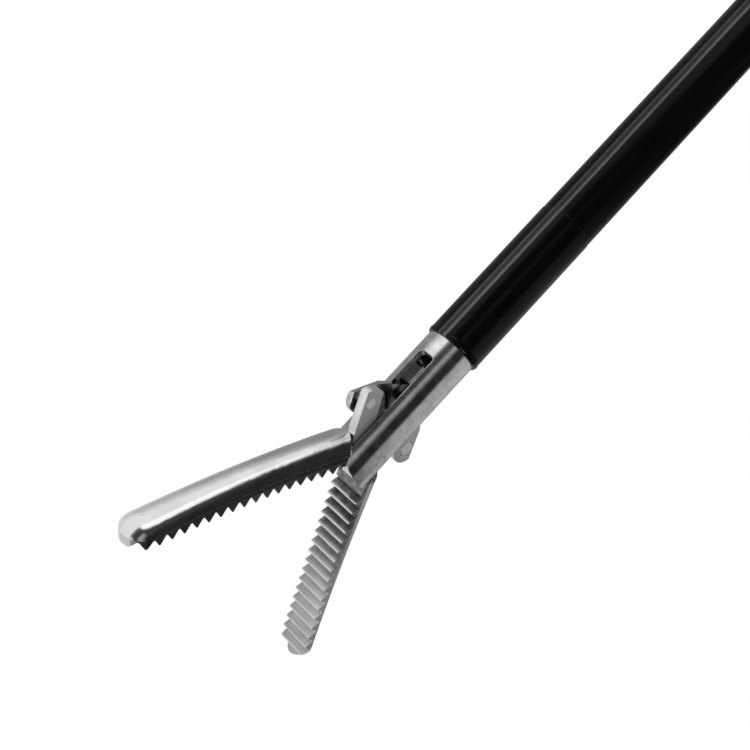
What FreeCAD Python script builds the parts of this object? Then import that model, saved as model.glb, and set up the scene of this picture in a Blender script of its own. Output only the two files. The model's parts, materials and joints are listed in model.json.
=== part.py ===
import FreeCAD, Part
import math
import os

# Laparoscopic grasper, 5 mm, double-action toothed jaws, ring handle. Millimetres.
# +X runs along the shaft towards the jaws, the jaws and the handle lie in the XY plane,
# and the instrument lies on its side with +Z up. The origin is on the shaft's axis, at
# the front end of its black insulation. The jaws are built shut and then swung open.

os.makedirs("parts", exist_ok=True)

# Shaft
shaft_radius = 2.5
insulation_wall = 0.5
insulation_tuck = 4.0
insulation_tuck_step = 0.2
tube_wall = 0.3
sleeve_length = 14.5
clear_shaft_length = 283.0
rod_radius = 0.8
liner_wall = 0.75

# Clevis and jaw pivot
clevis_radius = 2.325
pivot_x = 11.0
ear_nose = 2.55
ear_corner = 1.35
slot_half = 0.8
slot_back = 9.1
slot_corner = 0.35
pocket_radius = 1.6
spigot_length = 6.0
spigot_bore = 1.0
pivot_pin_radius = 0.47

# Jaws
jaw_open_angle = 40.0
jaw_reach = 22.2
lower_jaw_extra = 0.35
jaw_root_gap = 0.25
jaw_root_half_width = 1.75
jaw_waist_half_width = 1.62
jaw_tip_half_width = 1.7
jaw_root_side = 1.15
jaw_tip_side = 0.45
jaw_root_crown = 2.25
jaw_tip_crown = 1.35
jaw_out_bow = 0.24
jaw_side_bow = 0.3
tooth_count = 17
tooth_start = 4.3
tooth_pitch = 1.05
tooth_height = 0.66
tooth_flat = 0.12
tooth_gap = 0.06
hub_radius = 1.85
plate_gap = 0.03
plate_outer = 0.73

# Toggle linkage between the drive rod and the jaws
tang_reach = 5.0
tang_angle_shut = 18.0
tang_end_radius = 1.4
ground_radius = 2.45
link_length = 5.1
link_end_radius = 1.1
link_inner = 0.28
link_pin_radius = 0.5
link_pin_head_radius = 0.68
link_pin_head_height = 0.2
rod_pin_radius = 0.36
tongue_half_height = 0.75
tongue_half_width = 0.25
tongue_length = 9.5

# Flush collar and luer neck in front of the knob
flush_collar_length = 14.0
flush_collar_radius = 5.5
flush_collar_lip = 0.9
flush_collar_taper = 3.0
flush_collar_edge = 0.6
luer_reach = 17.0
luer_neck_radius = 3.0
luer_flange_radius = 3.9
luer_flange_height = 1.6
luer_bore = 2.1
luer_depth = 8.0
flush_hole_radius = 0.7

# Rotation knob and its hub
knob_length = 22.0
knob_radius = 11.5
knob_flute_count = 10
knob_flute_radius = 2.6
knob_nose_wall = 2.0
knob_nose_length = 2.0
knob_shoulder_wall = 3.4
knob_cone_length = 7.0
knob_back_length = 3.0
knob_back_step = 1.6
hub_bush_radius = 5.0
hub_flange_radius = 7.0
hub_flange_width = 3.0
hub_tail_radius = 4.2
hub_tail_length = 7.0
seal_radius = 0.75

# Handle housing
housing_half_width = 8.0
housing_edge = 2.4
housing_front_radius = 11.0
housing_rear_radius = 12.0
housing_wall = 2.6
housing_tail = 20.0
housing_drop = 1.0
housing_rear_drop = 3.0
grip_top_radius = 8.5
grip_low_radius = 8.0
grip_top_drop = 14.0
grip_top_back = 17.0
front_wall = 2.0
knob_gap = 0.4
finger_loop_length = 42.0
finger_loop_width = 22.0
finger_loop_wall = 6.0
finger_loop_drop = 78.0
finger_loop_forward = 16.0
finger_loop_lean = 0.12
screw_head_radius = 2.4
screw_radius = 1.25
screw_sink = 0.6
screw_head_height = 1.8
screw_slot_width = 1.2
screw_slot_length = 3.2
screw_slot_depth = 0.8
screw_depth = 4.5

# Thumb lever
lever_pivot_back = 30.0
lever_swing = 28.0
lever_pin_radius = 2.0
lever_hub_radius = 6.0
lever_plate_half = 2.0
lever_room_half = 5.8
stem_room = 0.5
hub_room = 2.6
fork_root_radius = 4.6
fork_end_radius = 4.2
fork_half = 3.4
core_tail_length = 28.0
core_tail_step = 1.2
core_tail_radius = 2.6
stem_start = 17.0
ball_radius = 2.0
thumb_ring_bore = 12.5
thumb_ring_wall = 5.5
thumb_ring_half = 4.5
thumb_ring_reach = 82.0
thumb_ring_angle = 224.5
thumb_ring_edge = 2.2
thumb_stem_radius = 6.0

# Ratchet
ratchet_inner = 30.0
ratchet_band = 3.2
ratchet_half = 1.4
ratchet_teeth = 8
ratchet_tooth_height = 0.8
ratchet_tooth_step = 1.8
ratchet_end_angle = 271.5
bar_room = 0.3
bar_end_room = 6.0
far = 60.0
pawl_forward = 17.5
pawl_drop = 23.0
pawl_angle = 279.0
pawl_lift = 0.15
pawl_pin_radius = 1.0
pawl_half = 1.6
pawl_boss_radius = 2.6
pawl_arm_radius = 2.0
pawl_arm_end_radius = 1.0
trigger_root_radius = 2.2
trigger_knee_radius = 1.8
trigger_end_radius = 1.5
trigger_knee_forward = 8.5
trigger_knee_drop = 3.0
trigger_end_forward = 11.5
trigger_end_drop = 14.0
pawl_swing = 9.0
trigger_half = 3.0
pawl_spring_wire = 0.4
pawl_spring_turns = 3

# High-frequency contact post
post_radius = 2.0
post_exposed = 9.5
post_angle = 125.0
post_back = 18.5
post_foot_height = 2.5
post_foot_start = 3.0
post_foot_step = 1.0
post_shoulder_step = 0.6
shroud_radius = 4.2
shroud_start = 9.6
shroud_length = 3.9

# Clearances
press = 0.005
running = 0.03
slip = 0.1
pocket_room = 0.6

Z_AXIS = FreeCAD.Vector(0, 0, 1)
X_AXIS = FreeCAD.Vector(1, 0, 0)
ORIGIN = FreeCAD.Vector(0, 0, 0)


def vec(x, y, z=0.0):
    return FreeCAD.Vector(x, y, z)


def polar(radius, degrees, centre=(0.0, 0.0)):
    """The point at a radius and an angle round a centre in the XY plane."""
    turn = math.radians(degrees)
    return (centre[0] + radius * math.cos(turn), centre[1] + radius * math.sin(turn))


def disc(centre, radius, low, high):
    """A cylinder about a line parallel to Z, between two heights."""
    return Part.makeCylinder(radius, high - low, vec(centre[0], centre[1], low), Z_AXIS)


def rod_x(radius, back, front):
    """A cylinder about the shaft's axis, between two stations along X."""
    return Part.makeCylinder(radius, front - back, vec(back, 0), X_AXIS)


def ring_x(outer, inner, back, front):
    return rod_x(outer, back, front).cut(rod_x(inner, back - 1, front + 1))


def block(low, high):
    size = [b - a for a, b in zip(low, high)]
    return Part.makeBox(size[0], size[1], size[2], FreeCAD.Vector(*low))


def prism(points, low, high):
    """A straight-edged outline in XY, raised from one height to another."""
    wire = Part.makePolygon([vec(x, y, low) for x, y in points + points[:1]])
    return Part.Face(wire).extrude(vec(0, 0, high - low))


def strip(start, end, start_radius, end_radius, low, high):
    """The band round two circles: two arcs joined by their outer tangents."""
    dx = end[0] - start[0]
    dy = end[1] - start[1]
    heading = math.degrees(math.atan2(dy, dx))
    spread = math.degrees(math.acos((start_radius - end_radius) / math.hypot(dx, dy)))
    left_start = vec(*polar(start_radius, heading + spread, start), low)
    back_start = vec(*polar(start_radius, heading + 180, start), low)
    right_start = vec(*polar(start_radius, heading - spread, start), low)
    left_end = vec(*polar(end_radius, heading + spread, end), low)
    front_end = vec(*polar(end_radius, heading, end), low)
    right_end = vec(*polar(end_radius, heading - spread, end), low)
    edges = [
        Part.Arc(left_start, back_start, right_start).toShape(),
        Part.LineSegment(right_start, right_end).toShape(),
        Part.Arc(right_end, front_end, left_end).toShape(),
        Part.LineSegment(left_end, left_start).toShape(),
    ]
    return Part.Face(Part.Wire(edges)).extrude(vec(0, 0, high - low))


def turned(points, about=ORIGIN, axis=X_AXIS):
    """A profile of (station, radius) points revolved about the shaft's axis."""
    wire = Part.makePolygon([vec(x, r) for x, r in points + points[:1]])
    return Part.Face(wire).revolve(about, axis, 360)


def swung(shape, degrees, centre=(0.0, 0.0)):
    copy = shape.copy()
    copy.rotate(vec(*centre), Z_AXIS, degrees)
    return copy


def moved(shape, x, y=0.0, z=0.0):
    copy = shape.copy()
    copy.translate(vec(x, y, z))
    return copy


def flipped(shape):
    """The shape turned half a turn about X, which makes one jaw's parts the other's."""
    copy = shape.copy()
    copy.rotate(ORIGIN, X_AXIS, 180)
    return copy


def fused(shapes):
    whole = shapes[0]
    for shape in shapes[1:]:
        whole = whole.fuse(shape)
    return whole.removeSplitter()


def top_edges(shape, height):
    """The edges that lie wholly in the plane at a height."""
    return [
        edge for edge in shape.Edges
        if abs(edge.BoundBox.ZMin - height) < 1e-4 and abs(edge.BoundBox.ZMax - height) < 1e-4
    ]


def save(name, shape):
    shape.exportStep("parts/" + name + ".step")


# Linkage: where the pins stand with the jaws open and shut

tang_angle_open = tang_angle_shut + jaw_open_angle


def exact_rod_reach(tang_angle):
    """How far behind the jaw pivot the rod's pin stands for one tang angle."""
    rise = tang_reach * math.sin(math.radians(tang_angle))
    return tang_reach * math.cos(math.radians(tang_angle)) + math.sqrt(link_length**2 - rise**2)


def exact_link_angle(tang_angle):
    rise = tang_reach * math.sin(math.radians(tang_angle))
    return math.degrees(math.asin(rise / link_length))


rod_stroke = exact_rod_reach(tang_angle_shut) - exact_rod_reach(tang_angle_open)
link_swing = exact_link_angle(tang_angle_open) - exact_link_angle(tang_angle_shut)


def pin_error(share, rod_shift, link_shift):
    """Along and across the link, how far the rod's pin stands from the link's eye.

    The jaws, links and rod each move in proportion to the lever, so the pin wanders
    a little in the eye between the ends of the stroke, and the eye is bored for that.
    """
    tang = math.radians(tang_angle_open - share * jaw_open_angle)
    link = math.radians(exact_link_angle(tang_angle_open) - share * link_swing + link_shift)
    reach = exact_rod_reach(tang_angle_open) + share * rod_stroke + rod_shift
    dx = reach - tang_reach * math.cos(tang)
    dy = tang_reach * math.sin(tang)
    along = dx * math.cos(link) + dy * math.sin(link) - link_length
    across = dy * math.cos(link) - dx * math.sin(link)
    return along, across


def middle(values):
    return 0.5 * (max(values) + min(values))


shares = [step / 20 for step in range(21)]
rod_shift = -middle([pin_error(share, 0, 0)[0] for share in shares])
link_shift = math.degrees(middle([pin_error(share, rod_shift, 0)[1] for share in shares]) / link_length)
eye_slack = max(math.hypot(*pin_error(share, rod_shift, link_shift)) for share in shares)
link_angle_rest = exact_link_angle(tang_angle_open) + link_shift
rod_pin_x = pivot_x - exact_rod_reach(tang_angle_open) - rod_shift
link_eye_radius = rod_pin_radius + eye_slack + running
pocket_end = pivot_x - exact_rod_reach(tang_angle_shut) - link_end_radius - slip
tip_overlap = 0.5 * (tooth_height - tooth_gap)


# Jaws, built shut about the pivot at the origin, with their backs towards +Y

ear_half = math.sqrt(clevis_radius**2 - slot_half**2)
ear_corner_x = ear_nose - ear_corner
ear_corner_y = ear_half - ear_corner
ear_sweep = math.hypot(ear_corner_x, ear_corner_y) + ear_corner
blade_back = 1.0
wide = 3.0


def ear_end(grow, low, high):
    """The side view of the ears' front end about the pivot: square, with round corners."""
    top = ear_half + grow
    return fused([
        strip(
            (ear_corner_x, -ear_corner_y), (ear_corner_x, ear_corner_y),
            ear_corner + grow, ear_corner + grow, low, high
        ),
        block((0, -top, low), (ear_corner_x, top, high)),
    ])


def bow(station):
    """The share of its full bow that a jaw has at a station: 0 at both ends, 1 halfway."""
    share = min(max(station / jaw_reach, 0.0), 1.0)
    return 4.0 * share * (1.0 - share)


def jaw_section(station, side):
    """A half-round section: flat biting side, low straight flanks and an arched back.

    It stands off the straight line by the jaw's bow, outwards and to one side.
    """
    share = station / jaw_reach
    waist = 0.5 * (jaw_root_half_width + jaw_tip_half_width) - jaw_waist_half_width
    half_width = jaw_root_half_width + share * (jaw_tip_half_width - jaw_root_half_width)
    half_width -= waist * bow(station)
    lift = jaw_out_bow * bow(station)
    middle_z = side * jaw_side_bow * bow(station)
    base = lift - tip_overlap
    crown = lift + jaw_root_crown + share * (jaw_tip_crown - jaw_root_crown)
    corner = lift + jaw_root_side + share * (jaw_tip_side - jaw_root_side)
    right = middle_z + half_width
    left = middle_z - half_width
    return Part.Wire([
        Part.LineSegment(vec(station, base, left), vec(station, base, right)).toShape(),
        Part.LineSegment(vec(station, base, right), vec(station, corner, right)).toShape(),
        Part.Arc(
            vec(station, corner, right), vec(station, crown, middle_z), vec(station, corner, left)
        ).toShape(),
        Part.LineSegment(vec(station, corner, left), vec(station, base, left)).toShape(),
    ])


def jaw_nose(nose_x, side):
    """The round nose: half of the last section turned about its own middle."""
    middle_z = side * jaw_side_bow * bow(nose_x)
    half = Part.Face(jaw_section(nose_x, side)).common(
        block((nose_x - 1.0, -wide, middle_z), (nose_x + 1.0, wide, middle_z + wide))
    )
    return half.Faces[0].revolve(vec(nose_x, 0, middle_z), vec(0, 1, 0), 180)


def jaw_blade(reach, side):
    """The full-width biting part, waisted, and lower towards the rounded nose.

    Its root clears the ears at every angle, and the other jaw's tang when open.
    """
    nose_x = reach - jaw_tip_half_width
    stations = [blade_back + index * (nose_x - blade_back) / 4 for index in range(5)]
    loft = Part.makeLoft([jaw_section(station, side) for station in stations], True, False)
    blade = loft.fuse(jaw_nose(nose_x, side))
    for share in (0.0, 0.5, 1.0):
        blade = blade.cut(swung(ear_end(jaw_root_gap, -wide, wide), -share * jaw_open_angle))
    other_tang = strip(
        (0, 0), polar(tang_reach, 180 - tang_angle_shut - 2 * jaw_open_angle),
        hub_radius + running, tang_end_radius + running, -plate_outer - running, 0
    )
    return blade.cut(other_tang).Solids[0]


def tooth_grooves(reach, shift):
    """The grooves between the teeth, whose flanks match so that shut jaws mesh."""
    top = 0.5 * (tooth_pitch - tooth_flat)
    bottom = 0.5 * tooth_flat
    slope = (top - bottom) / tooth_height
    below = 0.5
    mouth = top + slope * below
    cutters = []
    for index in range(tooth_count + 2):
        centre = tooth_start + (index - 0.5 + shift) * tooth_pitch
        if centre - top < reach:
            tip = jaw_out_bow * bow(centre) - tip_overlap
            cutters.append(prism([
                (centre - mouth, tip - below),
                (centre + mouth, tip - below),
                (centre + bottom, tip + tooth_height),
                (centre - bottom, tip + tooth_height),
            ], -wide, wide))
    return cutters


def jaw(reach, shift, side):
    """One jaw with its hub, neck and tang in the half of the slot above Z = 0.

    The tang is ground off where it would stand out of the shaft when the jaws are shut.
    """
    blade = jaw_blade(reach, side)
    heel_end = tooth_start + (shift - 0.5) * tooth_pitch
    heel_top = tooth_gap + jaw_out_bow * bow(heel_end)
    blade = blade.cut(block((0, -wide, -wide), (heel_end, heel_top, wide)))
    for cutter in tooth_grooves(reach, shift):
        blade = blade.cut(cutter)
    tang_pin = polar(tang_reach, 180 + tang_angle_shut)
    neck_end = ear_sweep + jaw_root_gap + 0.6
    plate = fused([
        disc((0, 0), hub_radius, plate_gap, plate_outer),
        strip((0, 0), tang_pin, hub_radius, tang_end_radius, plate_gap, plate_outer),
        block((0, heel_top, plate_gap), (neck_end, hub_radius, plate_outer)),
    ])
    plate = plate.common(rod_x(ground_radius, -2 * tang_reach, neck_end))
    whole = fused([blade, plate])
    whole = whole.cut(disc((0, 0), pivot_pin_radius + running, -wide, wide))
    return whole.cut(disc(tang_pin, link_pin_radius + press, -wide, wide))


def link_pin():
    """A rivet from the tang's outer face to a head let into the link's outer face."""
    shank = disc((0, 0), link_pin_radius, -plate_outer, plate_outer)
    head_top = link_pin_head_height - plate_outer
    return fused([shank, disc((0, 0), link_pin_head_radius, -plate_outer, head_top)])


def link():
    """A flat link from the tang's rivet at the origin along -X to the rod's pin.

    It is ground off to the shaft's round when the jaws are shut, as the tang is.
    """
    eye = (-link_length, 0.0)
    body = strip((0, 0), eye, tang_end_radius, link_end_radius, -plate_outer, -link_inner)
    shut_pin = polar(tang_reach, 180 + tang_angle_shut)
    shaft_when_shut = moved(rod_x(ground_radius, -30, 5), -shut_pin[0], -shut_pin[1])
    body = body.common(swung(shaft_when_shut, link_angle_rest - link_swing))
    body = body.cut(disc((0, 0), link_pin_radius + running, -wide, wide))
    seat_top = link_pin_head_height + running - plate_outer
    body = body.cut(disc((0, 0), link_pin_head_radius + running, -wide, seat_top))
    return body.cut(disc(eye, link_eye_radius, -wide, wide))


lower_tang_pin = polar(tang_reach, 180 + tang_angle_open)
lower_jaw = swung(jaw(jaw_reach + lower_jaw_extra, 0.5, -1), jaw_open_angle)
lower_pin = moved(link_pin(), *lower_tang_pin)
lower_link = moved(swung(link(), -link_angle_rest), *lower_tang_pin)
upper_jaw = flipped(swung(jaw(jaw_reach, 0.0, 1), jaw_open_angle))
save("lower_jaw", moved(lower_jaw, pivot_x))
save("lower_link_pin", moved(lower_pin, pivot_x))
save("lower_link", moved(lower_link, pivot_x))
save("upper_jaw", moved(upper_jaw, pivot_x))
save("upper_link_pin", moved(flipped(lower_pin), pivot_x))
save("upper_link", moved(flipped(lower_link), pivot_x))


# Clevis: two ears with the jaws and links between them, and a spigot in the tube

tube_outer = shaft_radius - insulation_wall
tube_inner = tube_outer - tube_wall


def jaw_clevis():
    barrel = rod_x(clevis_radius, 0, pivot_x + ear_nose)
    side_view = fused([
        moved(ear_end(0, -wide, wide), pivot_x),
        block((0, -wide, -wide), (pivot_x, wide, wide)),
    ])
    barrel = barrel.common(side_view)
    slot_end = pivot_x - slot_back
    slot = block((slot_end, -2 * wide, -slot_half), (pivot_x + 2 * wide, 2 * wide, slot_half))
    slot_corners = [
        edge for edge in slot.Edges
        if edge.BoundBox.XMax < slot_end + 0.01 and edge.BoundBox.YLength > 1
    ]
    slot = slot.makeFillet(slot_corner, slot_corners)
    pocket = rod_x(pocket_radius, pocket_end, slot_end + 2 * slot_corner)
    spigot = rod_x(tube_inner - 2 * press, -spigot_length, 0.5)
    body = fused([barrel, spigot]).cut(slot).cut(pocket)
    body = body.cut(rod_x(spigot_bore, -spigot_length - 1, pocket_end + 0.5))
    return body.cut(disc((pivot_x, 0), pivot_pin_radius + press, -wide, wide))


pivot_pin = disc((pivot_x, 0), pivot_pin_radius, -wide, wide).common(
    rod_x(clevis_radius, pivot_x - 1, pivot_x + 1)
)
save("jaw_clevis", jaw_clevis())
save("jaw_pivot_pin", pivot_pin)


# Shaft: steel tube in black insulation, with a short front sleeve

collar_front = -clear_shaft_length
knob_front = collar_front - flush_collar_length
knob_back = knob_front - knob_length
housing_front = knob_back - knob_gap
hub_front = knob_front - 1.0
flange_front = housing_front - front_wall - running
flange_back = flange_front - hub_flange_width
hub_back = flange_back - hub_tail_length
tube_back = flange_back

luer_x = 0.5 * (collar_front + knob_front)
flush_way = Part.makeCylinder(
    flush_hole_radius, luer_reach + 1, FreeCAD.Vector(luer_x, 0, 0), FreeCAD.Vector(0, 1, 0)
)
tucked_radius = shaft_radius - insulation_tuck_step
tuck_back = collar_front - insulation_tuck
insulation = fused([
    ring_x(shaft_radius, tube_outer + press, collar_front, -sleeve_length),
    ring_x(tucked_radius, tube_outer + press, tuck_back, collar_front),
])
save("outer_tube", ring_x(tube_outer, tube_inner, tube_back, 0).cut(flush_way))
save("shaft_insulation", insulation)
save("distal_sleeve", ring_x(shaft_radius, tube_outer + press, -sleeve_length, 0))
liner_outer = rod_radius + slip + liner_wall
save("rod_liner", ring_x(liner_outer, rod_radius + slip, luer_x + 3.0, -spigot_length - 1.0))


# Flush collar with its luer neck

def flush_collar():
    body = turned([
        (collar_front, tucked_radius + running),
        (collar_front, shaft_radius + flush_collar_lip),
        (collar_front - flush_collar_taper, flush_collar_radius),
        (knob_front + flush_collar_edge, flush_collar_radius),
        (knob_front, flush_collar_radius - flush_collar_edge),
        (knob_front, tube_outer + press),
        (tuck_back - slip, tube_outer + press),
        (tuck_back - slip, tucked_radius + running),
    ])
    neck_foot = 0.5 * (tube_outer + flush_collar_radius)
    neck = Part.makeCylinder(
        luer_neck_radius, luer_reach - neck_foot,
        FreeCAD.Vector(luer_x, neck_foot, 0), FreeCAD.Vector(0, 1, 0)
    )
    flange = Part.makeCylinder(
        luer_flange_radius, luer_flange_height,
        FreeCAD.Vector(luer_x, luer_reach - luer_flange_height, 0), FreeCAD.Vector(0, 1, 0)
    )
    bore = Part.makeCylinder(
        luer_bore, luer_depth, FreeCAD.Vector(luer_x, luer_reach - luer_depth, 0),
        FreeCAD.Vector(0, 1, 0)
    )
    return fused([body, neck, flange]).cut(bore).cut(flush_way)


save("flush_collar", flush_collar())


# Rotation knob on its brass hub

def rotation_knob():
    body = turned([
        (knob_front, hub_bush_radius + knob_nose_wall),
        (knob_front - knob_nose_length, hub_bush_radius + knob_shoulder_wall),
        (knob_front - knob_cone_length, knob_radius),
        (knob_back + knob_back_length, knob_radius),
        (knob_back, knob_radius - knob_back_step),
        (knob_back, hub_bush_radius + press),
        (hub_front + press, hub_bush_radius + press),
        (hub_front + press, tube_outer + slip),
        (knob_front, tube_outer + slip),
    ])
    flute_y = knob_radius + 1.0
    flute = Part.makeCylinder(
        knob_flute_radius, knob_length, FreeCAD.Vector(knob_back - 1.0, flute_y, 0), X_AXIS
    )
    tip = Part.makeSphere(
        knob_flute_radius, FreeCAD.Vector(knob_back - 1.0 + knob_length, flute_y, 0)
    )
    flute = flute.fuse(tip)
    for index in range(knob_flute_count):
        cutter = flute.copy()
        cutter.rotate(ORIGIN, X_AXIS, 360.0 * index / knob_flute_count)
        body = body.cut(cutter)
    return body


knob_hub = turned([
    (hub_front, tube_outer + press),
    (hub_front, hub_bush_radius),
    (flange_front, hub_bush_radius),
    (flange_front, hub_flange_radius),
    (flange_back, hub_flange_radius),
    (flange_back, hub_tail_radius),
    (hub_back, hub_tail_radius),
    (hub_back, rod_radius + slip),
    (flange_back - 1.5, rod_radius + slip),
    (flange_back - 1.5, rod_radius + 2 * seal_radius + 0.02),
    (flange_back, rod_radius + 2 * seal_radius + 0.02),
    (flange_back, tube_outer + press),
])
shaft_seal = Part.makeTorus(
    rod_radius + seal_radius + 0.01, seal_radius - 0.01,
    FreeCAD.Vector(flange_back - 0.75, 0, 0), X_AXIS
)
save("rotation_knob", rotation_knob())
save("knob_hub", knob_hub)
save("shaft_seal", shaft_seal)


# Drive rod: flat tongue and cross pin in front, ball at the back

lever_arm = 0.5 * rod_stroke / math.tan(math.radians(lever_swing / 2))
lever_centre = (housing_front - lever_pivot_back, -lever_arm)
ball_x = lever_centre[0] + 0.5 * rod_stroke
tongue_back = rod_pin_x - tongue_length

tongue = fused([
    disc((rod_pin_x, 0), tongue_half_height, -tongue_half_width, tongue_half_width),
    block((tongue_back, -tongue_half_height, -tongue_half_width),
          (rod_pin_x, tongue_half_height, tongue_half_width)),
])
tongue = tongue.cut(disc((rod_pin_x, 0), rod_pin_radius + press, -1.0, 1.0))
drive_rod = fused([tongue, rod_x(rod_radius, ball_x, tongue_back + 1.0)])
ball = Part.makeSphere(ball_radius, FreeCAD.Vector(ball_x, 0, 0))
save("drive_rod", drive_rod.cut(ball))
save("rod_ball", ball)
save("rod_link_pin", disc((rod_pin_x, 0), rod_pin_radius, -plate_outer, plate_outer))


# Handle housing: two shells that meet at Z = 0, with a finger loop below

housing_back = housing_front - lever_pivot_back - housing_tail
front_centre = (housing_front - 0.86 * housing_front_radius, -housing_drop)
rear_centre = (housing_back + housing_rear_radius, -housing_rear_drop)
loop_centre = (lever_centre[0] + finger_loop_forward, -finger_loop_drop)
loop_half = 0.5 * (finger_loop_length - finger_loop_width)
loop_top = (loop_centre[0] + finger_loop_lean * loop_half, loop_centre[1] + loop_half)
loop_low = (loop_centre[0] - finger_loop_lean * loop_half, loop_centre[1] - loop_half)
grip_top = (housing_front - grip_top_back, -grip_top_drop)
loop_inner = 0.5 * finger_loop_width
loop_outer = loop_inner + finger_loop_wall


def housing_outline(low, high):
    """The body, the grip and the finger loop, as one plate between two heights."""
    body = strip(front_centre, rear_centre, housing_front_radius, housing_rear_radius, low, high)
    body = body.cut(block((housing_front, -40, low - 1), (housing_front + 20, 40, high + 1)))
    grip = strip(grip_top, loop_top, grip_top_radius, grip_low_radius, low, high)
    loop = strip(loop_top, loop_low, loop_outer, loop_outer, low, high)
    whole = fused([body, grip, loop])
    hole = strip(loop_top, loop_low, loop_inner, loop_inner, low - 1, high + 1)
    return whole.cut(hole)


pawl_centre = (lever_centre[0] + pawl_forward, lever_centre[1] - pawl_drop)
pawl_tip = polar(ratchet_inner - pawl_lift, pawl_angle, lever_centre)
trigger_knee = (pawl_centre[0] + trigger_knee_forward, pawl_centre[1] - trigger_knee_drop)
trigger_end = (pawl_centre[0] + trigger_end_forward, pawl_centre[1] - trigger_end_drop)


def lever_room():
    """The space inside the shells for the lever, rod, ratchet bar and pawl."""
    half = lever_room_half
    chamber = strip(
        (flange_back - 3.0, -housing_drop), (rear_centre[0] + 1.0, rear_centre[1]),
        housing_front_radius - housing_wall, housing_rear_radius - housing_wall, -half, half
    )
    chamber = chamber.common(block((housing_back, -40, -half), (hub_back + 0.01, 40, half)))
    hub_space = disc(lever_centre, lever_hub_radius + hub_room, -half, half)
    stem_half = thumb_ring_half + stem_room
    stem_ways = [
        strip(
            lever_centre, polar(far, thumb_ring_angle + step * lever_swing / 4, lever_centre),
            thumb_stem_radius + stem_room, thumb_stem_radius + stem_room, -stem_half, stem_half
        )
        for step in range(5)
    ]
    bar_half = ratchet_half + bar_room
    bar_way = disc(lever_centre, ratchet_inner + ratchet_band + bar_room, -bar_half, bar_half)
    bar_way = bar_way.cut(disc(lever_centre, ratchet_inner - 3 * bar_room, -bar_half, bar_half))
    bar_end = ratchet_end_angle + lever_swing + bar_end_room
    bar_way = bar_way.common(prism([
        lever_centre, polar(far, thumb_ring_angle, lever_centre),
        polar(far, 0.5 * (thumb_ring_angle + bar_end), lever_centre),
        polar(far, bar_end, lever_centre)
    ], -bar_half, bar_half))
    return fused([chamber, hub_space] + stem_ways + [bar_way, pawl_room()])


def pawl_outline(grow, low, high):
    """The pawl's arm, boss and finger blade, each wider by grow."""
    arm_end = (pawl_tip[0] + 1.2, pawl_tip[1] + 1.6)
    root = trigger_root_radius + grow
    knee = trigger_knee_radius + grow
    return fused([
        disc(pawl_centre, pawl_boss_radius + grow, low, high),
        strip(pawl_centre, arm_end, pawl_arm_radius + grow, pawl_arm_end_radius + grow, low, high),
        strip(pawl_centre, trigger_knee, root, knee, low, high),
        strip(trigger_knee, trigger_end, knee, trigger_end_radius + grow, low, high),
    ])


def pawl_room():
    half = pawl_half + 0.2
    rest = pawl_outline(pocket_room, -half, half)
    spring_top = pawl_half + 2 * slip + pawl_spring_turns * pawl_spring_wire
    return fused([
        disc(pawl_centre, pawl_boss_radius + pocket_room, 0.5 * half, spring_top + 2 * slip),
        rest,
        swung(rest, -0.5 * pawl_swing, pawl_centre),
        swung(rest, -pawl_swing, pawl_centre),
    ])


def shell(side):
    """One half of the housing, on the side of Z = 0 that side gives."""
    low, high = (0.0, housing_half_width) if side > 0 else (-housing_half_width, 0.0)
    outer = housing_outline(low, high)
    outer = outer.makeFillet(housing_edge, top_edges(outer, side * housing_half_width))
    inside = lever_room()
    neck_way = rod_x(hub_bush_radius + slip, housing_front - front_wall - 1, housing_front + 1)
    flange_way = rod_x(hub_flange_radius + slip, flange_back - slip, housing_front - front_wall)
    tail_way = rod_x(hub_tail_radius + 0.05, hub_back - 0.2, flange_back)
    for way in (inside, neck_way, flange_way, tail_way, post_way):
        outer = outer.cut(way)
    for pin, radius in ((lever_centre, lever_pin_radius), (pawl_centre, pawl_pin_radius)):
        depth = pin_depths[radius]
        outer = outer.cut(disc(pin, radius + press, -depth, depth))
    return outer


pin_depths = {lever_pin_radius: housing_half_width - 1.2, pawl_pin_radius: 5.0}

post_foot = (housing_front - post_back, post_foot_height)
post_direction = FreeCAD.Vector(
    math.cos(math.radians(post_angle)), math.sin(math.radians(post_angle)), 0
)


def along_post(radius, start, end):
    """A cylinder on the contact post's axis, between two distances from its foot."""
    foot = vec(*post_foot) + post_direction * start
    return Part.makeCylinder(radius, end - start, foot, post_direction)


post_foot_radius = post_radius + post_foot_step
post_shoulder_radius = post_radius + post_shoulder_step
shroud_end = shroud_start + shroud_length
post_way = along_post(post_foot_radius + press, post_foot_start, shroud_end + post_exposed)
shells = {"left": shell(1), "right": shell(-1)}

# Screws that hold the shells together: heads sunk in one shell, threads in the other

screw_places = [
    (housing_front - 7.0, front_centre[1] + housing_front_radius - screw_head_radius),
    (lever_centre[0] - lever_hub_radius - screw_head_radius - hub_room, lever_centre[1] - 1.5),
    (loop_top[0] + 1.0, loop_top[1] + loop_inner + 5.2),
    (loop_low[0], loop_low[1] - loop_inner - 0.5 * finger_loop_wall),
]


def screw(place):
    top = screw_sink - housing_half_width
    head = disc(place, screw_head_radius, top, top + screw_head_height)
    half_width = 0.5 * screw_slot_width
    half_length = 0.5 * screw_slot_length
    slot = block(
        (place[0] - half_width, place[1] - half_length, top),
        (place[0] + half_width, place[1] + half_length, top + screw_slot_depth)
    )
    shank = disc(place, screw_radius, top, screw_depth)
    return fused([head, shank]).cut(slot)


def screw_hole(place):
    seat = screw_sink + screw_head_height - housing_half_width
    head = disc(place, screw_head_radius + slip, -housing_half_width - 1, seat)
    return fused([head, disc(place, screw_radius + press, -housing_half_width, screw_depth + slip)])


screws = [screw(place) for place in screw_places]
for place in screw_places:
    for name in shells:
        shells[name] = shells[name].cut(screw_hole(place))
save("left_shell", shells["left"])
save("right_shell", shells["right"])
save("housing_screws", Part.makeCompound(screws))


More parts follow.
